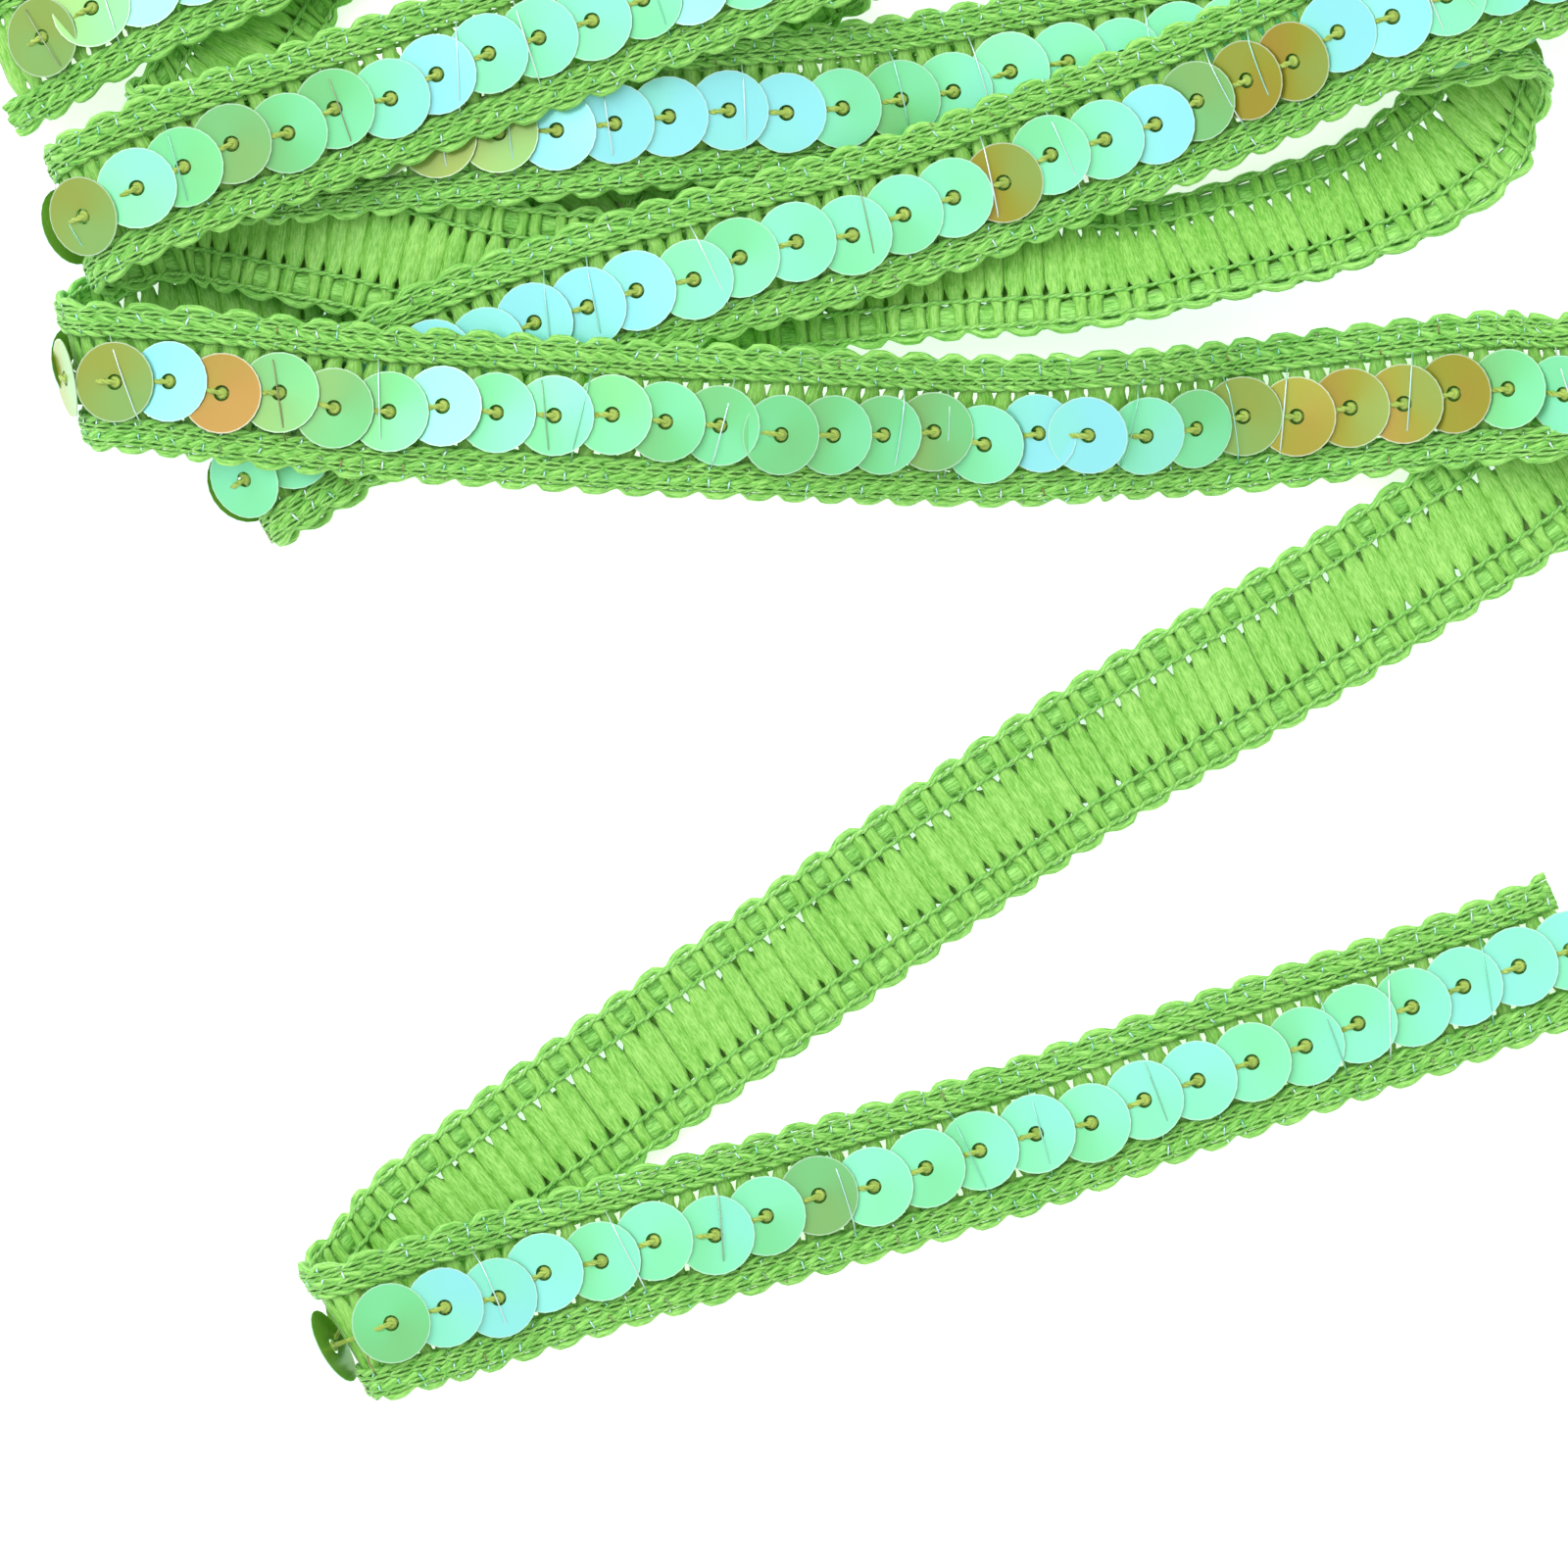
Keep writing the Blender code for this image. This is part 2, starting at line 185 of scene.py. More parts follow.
# Sequins first to last of a run that show another film colour than most
Glint = namedtuple("Glint", "run first last film")
GLINTS = (
    Glint("front", 11, 13, MINT),
    Glint("front", 14, 14, LEAF),
    Glint("front", 16, 18, MINT),
    Glint("front", 19, 21, AQUA),
    Glint("front", 22, 22, SPRING),
    Glint("front", 23, 23, OLIVE),
    Glint("middle", 2, 2, SPRING),
    Glint("middle", 3, 6, GOLD),
    Glint("middle", 7, 7, OLIVE),
    Glint("middle", 8, 8, SPRING),
    Glint("middle", 10, 11, SKY),
    Glint("middle", 12, 12, MINT),
    Glint("middle", 13, 13, LEAF),
    Glint("middle", 14, 19, SPRING),
    Glint("middle", 20, 20, MINT),
    Glint("middle", 23, 23, SPRING),
    Glint("middle", 24, 25, LEAF),
    Glint("middle", 26, 26, BRONZE),
    Glint("middle", 27, 27, SKY),
    Glint("middle", 28, 31, OLIVE),
    Glint("long", 5, 6, SKY),
    Glint("long", 7, 7, GOLD),
    Glint("long", 8, 8, GOLD),
    Glint("long", 9, 9, LEAF),
    Glint("long", 10, 10, SKY),
    Glint("long", 13, 13, GOLD),
    Glint("long", 14, 16, MINT),
    Glint("long", 20, 24, SKY),
    Glint("top", 8, 8, SKY),
    Glint("top", 10, 11, SPRING),
    Glint("top", 12, 12, LEAF),
    Glint("top", 13, 13, SPRING),
    Glint("top", 14, 14, MINT),
    Glint("top", 15, 17, OLIVE),
    Glint("rear", 9, 10, MINT),
    Glint("rear", 11, 11, SPRING),
    Glint("rear", 13, 17, SKY),
    Glint("rear", 18, 23, OLIVE),
    Glint("last", 5, 5, LEAF),
    Glint("last", 6, 6, OLIVE),
)


def direction(heading):
    """A unit vector on the plan for a heading in degrees."""
    return np.array([cos(radians(heading)), sin(radians(heading))])


def unit(rows):
    """Each row scaled to a length of one."""
    return rows / np.linalg.norm(rows, axis=-1, keepdims=True)


def ease(t):
    """A smooth step from 0 to 1."""
    t = np.clip(t, 0.0, 1.0)
    return 3 * t**2 - 2 * t**3


def plan_piece(start, end):
    """A smooth curve on the plan from one way point to the next, about a step apart."""
    chord = np.linalg.norm(end[:2] - start[:2])
    count = max(2, ceil(chord / FINE_STEP))
    t = np.linspace(0.0, 1.0, count + 1)[:, None]
    leave = direction(start[2]) * chord
    arrive = direction(end[2]) * chord
    places = (
        (2 * t**3 - 3 * t**2 + 1) * start[:2]
        + (t**3 - 2 * t**2 + t) * leave
        + (3 * t**2 - 2 * t**3) * end[:2]
        + (t**3 - t**2) * arrive
    )
    rolls = start[3] + (end[3] - start[3]) * ease(t)
    return np.hstack([places, rolls])


def plan_run(run, first_place):
    """The run's middle line on the plan, with its roll: rows of x, y, roll."""
    stops = [np.array([way.x, way.y, way.heading, way.roll]) for way in WAYS if way.run == run.name]
    if first_place is not None:
        stops.insert(0, np.array([*first_place, run.starts, 0.0]))
    pieces = [plan_piece(a, b) for a, b in zip(stops, stops[1:])]
    return np.vstack([pieces[0]] + [piece[1:] for piece in pieces[1:]])


def fold_plan(arrives, leaves, loop):
    """Where a fold points, and how far it carries the band along its own crease."""
    into = direction(arrives)
    out = direction(leaves)
    nose = unit(into - out)
    crease = np.array([-nose[1], nose[0]])
    travel = into @ crease / (into @ nose)
    return nose, crease * travel * pi * loop / 2


def lay_plans():
    """Each run's middle line on the plan, each starting where the last fold lets it go."""
    plans = {}
    noses = {}
    place = None
    arrives = None
    for run in RUNS:
        if place is not None:
            nose, carry = fold_plan(arrives, run.starts, run.loop)
            place = place + carry
            noses[run.name] = nose
        plans[run.name] = plan_run(run, place)
        place = plans[run.name][-1, :2]
        arrives = [way.heading for way in WAYS if way.run == run.name][-1]
    return plans, noses


def across_samples():
    """Places across the band at which its height over the heap is tested."""
    edge = BAND_WIDTH / 2 + EDGE_MARGIN
    return np.linspace(-edge, edge, SAMPLES_ACROSS)


def reach(side, offset, upward):
    """How far the trim reaches above or below its mid-plane, at an offset from its middle line."""
    sequins = SEQUIN_LIFT + SEQUIN_STACK
    on_sequins = np.abs(offset) <= SEQUIN_DIAMETER / 2 + EDGE_MARGIN
    faces_there = side == (FACE_UP if upward else BACK_UP)
    return np.where(on_sequins & faces_there, sequins, BRAID_THICKNESS / 2)


def cells(places):
    """Grid indices of places on the plan."""
    index = np.round(places / CELL).astype(int) + FIELD_REACH
    return index[..., 0], index[..., 1]


def spread(line, offsets):
    """Points across the band, for each point of its middle line, with their rise by roll."""
    tangent = unit(np.gradient(line[:, :2], axis=0))
    left = np.stack([-tangent[:, 1], tangent[:, 0]], axis=1)
    lean = np.radians(line[:, 2])
    width = np.cos(lean)[:, None] * offsets
    places = line[:, None, :2] + width[..., None] * left[:, None, :]
    return places, np.sin(lean)[:, None] * offsets


def drape(needed):
    """The lowest smooth line that stays above what is needed: spread each peak, then average."""
    count = len(needed)
    padded = np.pad(needed, 2 * DRAPE_REACH, mode="edge")
    window = 2 * DRAPE_REACH + 1
    peaks = np.array([padded[i : i + window].max() for i in range(count + 2 * DRAPE_REACH)])
    return np.array([peaks[i : i + window].mean() for i in range(count)])


def lay_heights(plans):
    """The height of each run's middle line, built up in layers from the surface."""
    field = np.zeros((2 * FIELD_REACH + 1, 2 * FIELD_REACH + 1))
    heights = {}
    offsets = across_samples()
    order = {run.name: index for index, run in enumerate(RUNS)}
    for run in sorted(RUNS, key=lambda each: each.layer):
        line = plans[run.name]
        places, rise = spread(line, offsets)
        under = field[cells(places)]
        gap = np.where(under > 0, LAYER_GAP, 0.0)
        lean = np.cos(np.radians(line[:, 2]))[:, None]
        needed = (under + gap + reach(run.side, offsets, False) * lean - rise).max(axis=1)
        index = order[run.name]
        if index > 0 and RUNS[index - 1].name in heights:
            needed[:2] = np.maximum(needed[:2], heights[RUNS[index - 1].name][-1] + run.loop)
        if index + 1 < len(RUNS) and RUNS[index + 1].name in heights:
            following = RUNS[index + 1]
            needed[-2:] = np.maximum(needed[-2:], heights[following.name][0] + following.loop)
        heights[run.name] = drape(needed)
        tops = heights[run.name][:, None] + rise + reach(run.side, offsets, True) * lean
        np.maximum.at(field, cells(places), tops)
    return heights


def run_stations(run, line, height, nose_behind, nose_ahead):
    """Middle line, forward vector and face normal of a run: rows of nine numbers.

    The band's cross-lines are level but for its roll. Close to a fold they swing round
    to lie along the crease, square to the fold's nose.
    """
    middle = np.column_stack([line[:, :2], height])
    tangent = unit(np.gradient(middle, axis=0))
    facing = tangent.copy()
    if nose_behind is not None:
        near = ease(1 - np.arange(len(line)) * FINE_STEP / FOLD_EASE)[:, None]
        facing = facing + near * (np.array([*-nose_behind, 0.0]) - facing)
    if nose_ahead is not None:
        near = ease(1 - np.arange(len(line))[::-1] * FINE_STEP / FOLD_EASE)[:, None]
        facing = facing + near * (np.array([*nose_ahead, 0.0]) - facing)
    left = unit(np.cross(OUT, facing))
    up = unit(np.cross(tangent, left))
    lean = np.radians(line[:, 2])[:, None]
    raised_left = left * np.cos(lean) + up * np.sin(lean)
    raised_up = up * np.cos(lean) - left * np.sin(lean)
    forward = np.cross(raised_left, raised_up)
    return np.hstack([middle, forward, run.side * raised_up])


def fold_stations(before, after, side, nose):
    """The turn between two runs: half a cylinder, from the end of one to the start of the next."""
    start, end = before[:3], after[:3]
    radius = abs(end[2] - start[2]) / 2
    climb = 1.0 if end[2] > start[2] else -1.0
    carry = np.array([end[0] - start[0], end[1] - start[1], 0.0])
    outward = np.array([nose[0], nose[1], 0.0])
    upward = np.array([0.0, 0.0, climb])
    rows = []
    for step in range(1, FOLD_STEPS):
        turn = pi * step / FOLD_STEPS
        place = start + carry * turn / pi + radius * sin(turn) * outward
        place = place + radius * (1 - cos(turn)) * upward
        forward = cos(turn) * outward + sin(turn) * upward
        radial = sin(turn) * outward - cos(turn) * upward
        rows.append(np.concatenate([place, forward, -climb * side * radial]))
    return np.array(rows)


def lay_trim():
    """Stations along the whole trim, and the length at each."""
    plans, noses = lay_plans()
    heights = lay_heights(plans)
    rows = []
    for index, run in enumerate(RUNS):
        following = RUNS[index + 1].name if index + 1 < len(RUNS) else None
        behind, ahead = noses.get(run.name), noses.get(following)
        here = run_stations(run, plans[run.name], heights[run.name], behind, ahead)
        if index > 0:
            rows.append(fold_stations(rows[-1][-1], here[0], RUNS[index - 1].side, noses[run.name]))
        rows.append(here)
    stations = np.vstack(rows)
    stations[:, :2] -= HEAP_MIDDLE
    steps = np.linalg.norm(np.diff(stations[:, :3], axis=0), axis=1)
    return stations, np.concatenate([[0.0], np.cumsum(steps)])


STATIONS, LENGTHS = lay_trim()
TRIM_LENGTH = LENGTHS[-1]


def frames_at(lengths):
    """Middle point, forward, across and face vectors at lengths along the trim."""
    columns = [np.interp(lengths, LENGTHS, STATIONS[:, i]) for i in range(9)]
    rows = np.stack(columns, axis=-1)
    normal = unit(rows[..., 6:9])
    across = unit(np.cross(normal, rows[..., 3:6]))
    return rows[..., :3], np.cross(across, normal), across, normal


def on_band(places):
    """Places along, across and out from the band, moved to where the band lies, in metres."""
    middle, _, across, normal = frames_at(places[..., 0])
    return (middle + places[..., 1:2] * across + places[..., 2:3] * normal) * METRES


def strand_rings(paths, half_width, half_thick, sides, outward=OUT):
    """Rings round each path, and each ring point's place within its own yarn.

    half_width lies level with the band and half_thick out from it.
    """
    tangent = unit(np.gradient(paths, axis=1))
    side = unit(np.cross(outward, tangent))
    up = np.cross(tangent, side)
    angles = 2 * pi * (np.arange(sides) + 0.5) / sides
    wide = np.broadcast_to(half_width, paths.shape[:2])[..., None] * np.cos(angles)
    high = np.broadcast_to(half_thick, paths.shape[:2])[..., None] * np.sin(angles)
    rings = paths[:, :, None, :] + wide[..., None] * side[:, :, None, :]
    rings = rings + high[..., None] * up[:, :, None, :]
    steps = np.linalg.norm(np.diff(paths, axis=1), axis=-1)
    along = np.concatenate([np.zeros((len(paths), 1)), np.cumsum(steps, axis=1)], axis=1)
    along = along + 7.3 * np.arange(len(paths))[:, None]
    inside = np.stack([np.broadcast_to(along[..., None], wide.shape), wide, high], axis=-1)
    return rings, inside


def add_mesh(name, points, faces, marks, material, sharp=None):
    """A smooth mesh piece that rides on the trim. marks: numbers kept at each point, by name."""
    points[:, 2] = np.maximum(points[:, 2], 0.0)
    mesh = bpy.data.meshes.new(name)
    mesh.vertices.add(len(points))
    mesh.vertices.foreach_set("co", points.astype(np.float32).ravel())
    corners = np.concatenate([face.ravel() for face in faces])
    sizes = np.concatenate([np.full(len(face), face.shape[1]) for face in faces])
    starts = np.concatenate([[0], np.cumsum(sizes)[:-1]])
    mesh.loops.add(len(corners))
    mesh.loops.foreach_set("vertex_index", corners.astype(np.int32))
    mesh.polygons.add(len(sizes))
    mesh.polygons.foreach_set("loop_start", starts.astype(np.int32))
    mesh.update(calc_edges=True)
    mesh.shade_smooth()
    if sharp is not None:
        mesh.set_sharp_from_angle(angle=sharp)
    for mark, values in marks.items():
        values = np.asarray(values, np.float32)
        vector = values.ndim == 2
        kept = mesh.attributes.new(mark, "FLOAT_VECTOR" if vector else "FLOAT", "POINT")
        kept.data.foreach_set("vector" if vector else "value", values.ravel())
    mesh.materials.append(material)
    piece = bpy.data.objects.new(name, mesh)
    bpy.context.scene.collection.objects.link(piece)
    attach(piece, "root")
    return piece


def add_strands(name, bundles, material, laid=False):
    """One piece made of closed strands. bundles: pairs of rings and the places within the yarn.

    laid: the rings are already where the band lies, and not in places on the band.
    """
    points, inside, shades, faces = [], [], [], []
    base = 0
    chance = np.random.default_rng(len(name))
    for rings, place in bundles:
        strands, steps, sides = rings.shape[:3]
        index = base + np.arange(strands * steps * sides).reshape(strands, steps, sides)
        beside = np.roll(index, -1, axis=2)
        walls = np.stack([index[:, :-1], beside[:, :-1], beside[:, 1:], index[:, 1:]], axis=-1)
        faces += [walls.reshape(-1, 4), index[:, 0, ::-1], index[:, -1]]
        points.append((rings * METRES if laid else on_band(rings)).reshape(-1, 3))
        inside.append(place.reshape(-1, 3))
        shades.append(np.repeat(chance.random(strands), steps * sides))
        base += index.size
    marks = {"fibre_place": np.concatenate(inside), "strand_shade": np.concatenate(shades)}
    return add_mesh(name, np.concatenate(points), faces, marks, material)


def repeats(pitch, margin=0.4):
    """Lengths along the trim at which something is repeated, clear of the cut ends."""
    return np.arange(margin, TRIM_LENGTH - 0.4, pitch)


def drifting(lengths, spacing, size, seed):
    """A number that wanders slowly along the trim, either side of zero."""
    knots = np.arange(-spacing, TRIM_LENGTH + 2 * spacing, spacing)
    values = np.random.default_rng(seed).uniform(-size, size, len(knots))
    return np.interp(lengths, knots, values)


def long_path(step, across, out):
    """One path along the whole trim, from functions of length for its two offsets."""
    along = np.linspace(0.0, TRIM_LENGTH, int(TRIM_LENGTH / step))
    return np.stack([along, across(along), out(along)], axis=-1)[None]


def make_weft(material):
    """The weft yarns: satin floats over the open middle, and paired blocks in the borders."""
    starts = repeats(WEFT_PITCH, 0.75)
    starts = starts[starts < TRIM_LENGTH - 1.0]
    pull = np.where(np.arange(len(starts)) % 2 == 0, PAIR_PULL, -PAIR_PULL)[:, None]
    chance = np.random.default_rng(5)
    fullness = chance.normal(0.0, 0.03, (len(starts), 1))
    across = np.linspace(-WEFT_END, WEFT_END, WEFT_STEPS)
    on_web = ease((WEB_HALF - np.abs(across)) / 1.1)
    in_border = ease((np.abs(across) - 2.9) / 0.7)
    root = np.exp(-(((np.abs(across) - WEB_HALF) / 0.4) ** 2))
    lean = drifting(starts, 23.0, 0.12, 6)[:, None]
    sag = chance.normal(0.0, 0.05, (len(starts), 1))
    along = starts[:, None] + lean * np.clip(across, -WEB_HALF, WEB_HALF)
    along = along + pull * in_border + sag * on_web
    out = -0.24 + 0.07 * on_web + 0.08 * root - 0.06 * ease(np.abs(across) - 4.2)
    out = np.broadcast_to(out, along.shape)
    paths = np.stack([along, np.broadcast_to(across, along.shape), out], axis=-1)
    wide = 0.47 + (0.40 + fullness) * on_web
    thick = 0.23 - 0.05 * on_web
    rings, inside = strand_rings(paths, wide, np.broadcast_to(thick, along.shape), 7)
    return add_strands("weft_yarns", [(rings, inside)], material)


def scallop(along):
    """How far the edge yarn swells out at a length: it grows gently and drops back quickly."""
    phase = (along / REPEAT + 0.5) % 1.0
    return ease(phase / 0.50) * ease((1.0 - phase) / 0.26)


def make_scallops(material):
    """The edge yarn of each border, which loops outwards once in every repeat."""
    bundles = []
    for edge in (-1, 1):
        path = long_path(
            REPEAT / 9,
            lambda s: edge * (5.07 + 0.46 * scallop(s)),
            lambda s: -0.08 + 0.14 * scallop(s),
        )
        wide = 0.27 + 0.07 * scallop(path[..., 0])
        bundles.append(strand_rings(path, wide, 0.33, 6))
    return add_strands("scalloped_edges", bundles, material)


def twined(centre, sway, half, out, lift):
    """Two flat yarns in each border that cross over one another once in every repeat."""
    bundles = []
    for edge in (-1, 1):
        for turn in (0.0, pi):
            path = long_path(
                REPEAT / 8,
                lambda s: edge * (centre + sway * np.sin(2 * pi * s / REPEAT + turn)),
                lambda s: out + lift * np.cos(2 * pi * s / REPEAT + turn),
            )
            fatness = half * (1.0 + 0.25 * np.cos(2 * pi * path[..., 0] / REPEAT + turn))
            bundles.append(strand_rings(path, fatness, 0.17, 5))
    return bundles


def make_inlays(material):
    """The lengthwise yarns of each border: on its face, beside the open middle, and its core."""
    cores = []
    for edge in (-1, 1):
        path = long_path(REPEAT / 4, lambda s: edge * (4.1 + 0 * s), lambda s: 0 * s)
        cores.append(strand_rings(path, 0.92, 0.11, 6))
    return [
        add_strands("broad_inlays", twined(BROAD_INLAY, 0.21, 0.27, 0.24, 0.15), material),
        add_strands("inner_inlays", twined(INNER_INLAY, 0.18, 0.20, 0.22, 0.13), material),
        add_strands("border_cores", cores, material),
    ]


def chain_legs(across, out, spread_out, half, margin):
    """The legs of one row of chain stitches: each loop's head lies over the root of the next."""
    starts = repeats(WEFT_PITCH, margin)
    starts = starts[starts < TRIM_LENGTH - 2.0]
    along = np.array([-0.15, 0.30, 0.80, 1.30, 1.65])
    apart = np.array([0.10, 0.80, 1.00, 0.70, 0.05])
    lift = np.array([-0.17, -0.02, 0.07, 0.09, -0.06])
    bundles = []
    for leg in (-1, 1):
        paths = np.stack(
            [
                starts[:, None] + along,
                np.broadcast_to(across + leg * spread_out * apart, (len(starts), 5)),
                np.broadcast_to(out + lift, (len(starts), 5)),
            ],
            axis=-1,
        )
        bundles.append(strand_rings(paths, half, half * 0.9, 5))
    return bundles


def make_chains(material):
    """The two rows of chain stitches on each border's face."""
    outer = []
    middle = []
    for edge in (-1, 1):
        outer += chain_legs(edge * OUTER_CHAIN, 0.42, 0.20, 0.14, 0.4)
        middle += chain_legs(edge * MIDDLE_CHAIN, 0.42, 0.21, 0.14, 1.1)
    return [
        add_strands("outer_chains", outer, material),
        add_strands("middle_chains", middle, material),
    ]


def make_back_lines(material):
    """The two thin twisted lines on each border's back."""
    bundles = []
    for edge in (-1, 1):
        for across, turn in ((5.02, 0.5), (2.98, 2.0)):
            path = long_path(
                WEFT_PITCH / 4,
                lambda s: edge * across + 0.06 * np.sin(2 * pi * s / WEFT_PITCH + turn),
                lambda s: -0.46 - 0.06 * np.cos(2 * pi * s / WEFT_PITCH + turn),
            )
            bundles.append(strand_rings(path, 0.18, 0.14, 5))
    return add_strands("back_lines", bundles, material)


def sequin_places():
    """Each sequin's length along the trim, its offset across, and its film colour."""
    chance = np.random.default_rng(11)
    places = []
    ends = [sewing.start for sewing in SEWING[1:]] + [TRIM_LENGTH - 0.8]
    for sewing, end in zip(SEWING, ends):
        lengths = np.arange(sewing.start, end - 0.55 * sewing.pitch, sewing.pitch)
        for number, length in enumerate(lengths):
            film = AQUA + (MINT - AQUA) * chance.random() * 1.3
            for glint in GLINTS:
                if glint.run == sewing.run and glint.first <= number <= glint.last:
                    film = glint.film + 0.05 * (chance.random() - 0.5)
            shift = SEQUIN_SHIFT + chance.uniform(-0.5, 0.5)
            places.append((length + chance.normal(0, 0.12), shift, film))
    return np.array(places)


def sequin_frames(places):
    """Each sequin's centre, and its directions ahead, across and out, as it lies on the last one."""
    chance = np.random.default_rng(23)
    middle, forward, across, normal = frames_at(places[:, 0])
    sway = chance.normal(0, radians(1.2), len(places))[:, None]
    beside = unit(across * np.cos(sway) + normal * np.sin(sway))
    centre = middle + places[:, 1:2] * across + SEQUIN_HEIGHT * normal
    ahead = forward.copy()
    face = normal.copy()
    for number in range(len(places)):
        rise = SEQUIN_STEP / SEQUIN_DIAMETER
        if number > 0:
            below = face[number - 1]
            back = centre[number] - SEQUIN_RADIUS * forward[number] - centre[number - 1]
            rise = (SEQUIN_STEP - back @ below) / SEQUIN_RADIUS
        turn = min(max(rise, -STEEPEST / 3), STEEPEST)
        ahead[number] = forward[number] * cos(turn) - normal[number] * sin(turn)
        face[number] = unit(np.cross(ahead[number], beside[number]))
    return centre, ahead, np.cross(face, ahead), face


def make_sequins(places, frames, material):
    """Flat round discs with a hole, each a little tilted so that the next lies over it."""
    chance = np.random.default_rng(29)
    count = len(places)
    centre, ahead, beside, face = frames
    angles = 2 * pi * np.arange(SEQUIN_SIDES) / SEQUIN_SIDES
    warp = chance.random(count)[:, None] * 2 * pi
    half = SEQUIN_THICK / 2
    profile = [
        (HOLE_RADIUS, -half),
        (HOLE_RADIUS, half),
        (0.6 * SEQUIN_RADIUS, half),
        (SEQUIN_RADIUS, half),
        (SEQUIN_RADIUS, -half),
        (0.6 * SEQUIN_RADIUS, -half),
    ]
    rings = []
    inside = []
    for radius, height in profile:
        bow = 0.03 * (radius / SEQUIN_RADIUS) ** 2 * np.sin(2 * angles + warp)
        x = radius * np.cos(angles)
        y = radius * np.sin(angles)
        rings.append(
            centre[:, None]
            + x[None, :, None] * ahead[:, None]
            + y[None, :, None] * beside[:, None]
            + (height + bow)[..., None] * face[:, None]
        )
        flat = np.stack([x, y, np.full_like(x, height)], axis=-1) / SEQUIN_RADIUS
        inside.append(np.broadcast_to(flat, (count, SEQUIN_SIDES, 3)))
    points = np.stack(rings, axis=1)
    loops = len(profile)
    index = np.arange(count * loops * SEQUIN_SIDES).reshape(count, loops, SEQUIN_SIDES)
    beyond = np.roll(index, -1, axis=1)
    walls = np.stack(
        [index, beyond, np.roll(beyond, -1, axis=2), np.roll(index, -1, axis=2)], axis=-1
    )
    marks = {
        "disc_place": np.stack(inside, axis=1).reshape(-1, 3),
        "film_colour": np.repeat(places[:, 2], loops * SEQUIN_SIDES),
        "film_turn": np.repeat(chance.random(count), loops * SEQUIN_SIDES),
    }
    points = points.reshape(-1, 3) * METRES
    faces = [walls.reshape(-1, 4)]
    return add_mesh("sequins", points, faces, marks, material, SHARP_EDGE)


def make_thread(places, frames, material):
    """The two-ply thread: up through each hole, over that sequin and under the next one."""
    centre, ahead, beside, face = frames
    # ahead and out: places of the thread's middle in each sequin's own plane.
    steps = np.array([-0.60, -0.35, -0.10, 0.20, 0.50, 0.80, 1.10, 1.45, 2.00])
    heights = np.array([-0.40, -0.22, 0.02, 0.15, 0.17, 0.14, 0.04, -0.12, -0.28])
    onward = np.roll(centre, -1, axis=0) - centre
    onward[-1] = ahead[-1]
    aside = np.sum(onward * beside, axis=1) / np.maximum(np.sum(onward * ahead, axis=1), 1.0)
    aside = np.clip(aside, -0.5, 0.5)
    path = (
        centre[:, None]
        + steps[None, :, None] * ahead[:, None]
        + (np.maximum(steps, 0.0) * aside[:, None])[..., None] * beside[:, None]
        + heights[None, :, None] * face[:, None]
    ).reshape(-1, 3)
    outward = np.repeat(face, len(steps), axis=0)
    distance = np.concatenate([[0.0], np.cumsum(np.linalg.norm(np.diff(path, axis=0), axis=1))])
    turn = 2 * pi * distance / 1.2
    side = unit(np.cross(outward, np.gradient(path, axis=0)))
    bundles = []
    for ply in (0.0, pi):
        offset = 0.10 * (np.cos(turn + ply)[:, None] * side + np.sin(turn + ply)[:, None] * outward)
        strand = (path + offset)[None]
        bundles.append(strand_rings(strand, 0.15, 0.14, 6, outward[None]))
    return add_strands("sewing_thread", bundles, material, laid=True)


def make_knots(frames, material):
    """The loop of thread that fills each hole."""
    centre, ahead, beside, face = frames
    turn = np.linspace(0.0, 1.75 * pi, 9)
    paths = (
        centre[:, None]
        + (0.25 * np.cos(turn) - 0.04)[None, :, None] * ahead[:, None]
        + (0.25 * np.sin(turn))[None, :, None] * beside[:, None]
        + (0.10 * np.sin(turn / 2) - 0.10)[None, :, None] * face[:, None]
    )
    outward = np.broadcast_to(face[:, None], paths.shape)
    bundle = strand_rings(paths, 0.21, 0.18, 5, outward)
    return add_strands("thread_knots", [bundle], material, laid=True)


# low, high: how far from the band's middle a row of dashes lies. share: of the wefts that
# have a dash there. lift: its height out from the band.
GLITTER_ROWS = (
    (4.15, 4.85, 0.75, 0.46),
    (3.15, 3.75, 0.45, 0.42),
    (5.05, 5.35, 0.50, 0.36),
)


def make_glitter(material):
    """Short dashes of film laid in across the lengthwise yarns of the face."""
    chance = np.random.default_rng(31)
    bundles = []
    for edge in (-1, 1):
        for low, high, share, lift in GLITTER_ROWS:
            starts = repeats(WEFT_PITCH, 0.9 if edge > 0 else 0.6)
            starts = starts[chance.random(len(starts)) < share]
            count = len(starts)
            t = np.array([0.0, 0.33, 0.67, 1.0])
            length = (high - low) * chance.uniform(0.5, 1.2, (count, 1))
            across = low + chance.uniform(0.0, 0.2, (count, 1)) + length * t
            along = starts[:, None] + chance.normal(0, 0.18, (count, 1)) * (t - 0.5)
            out = lift + 0.12 * np.sin(pi * t) + 0 * across
            paths = np.stack([along, edge * across, out], axis=-1)
            bundles.append(strand_rings(paths, 0.08, 0.03, 4))
    return add_strands("glitter_dashes", bundles, material)


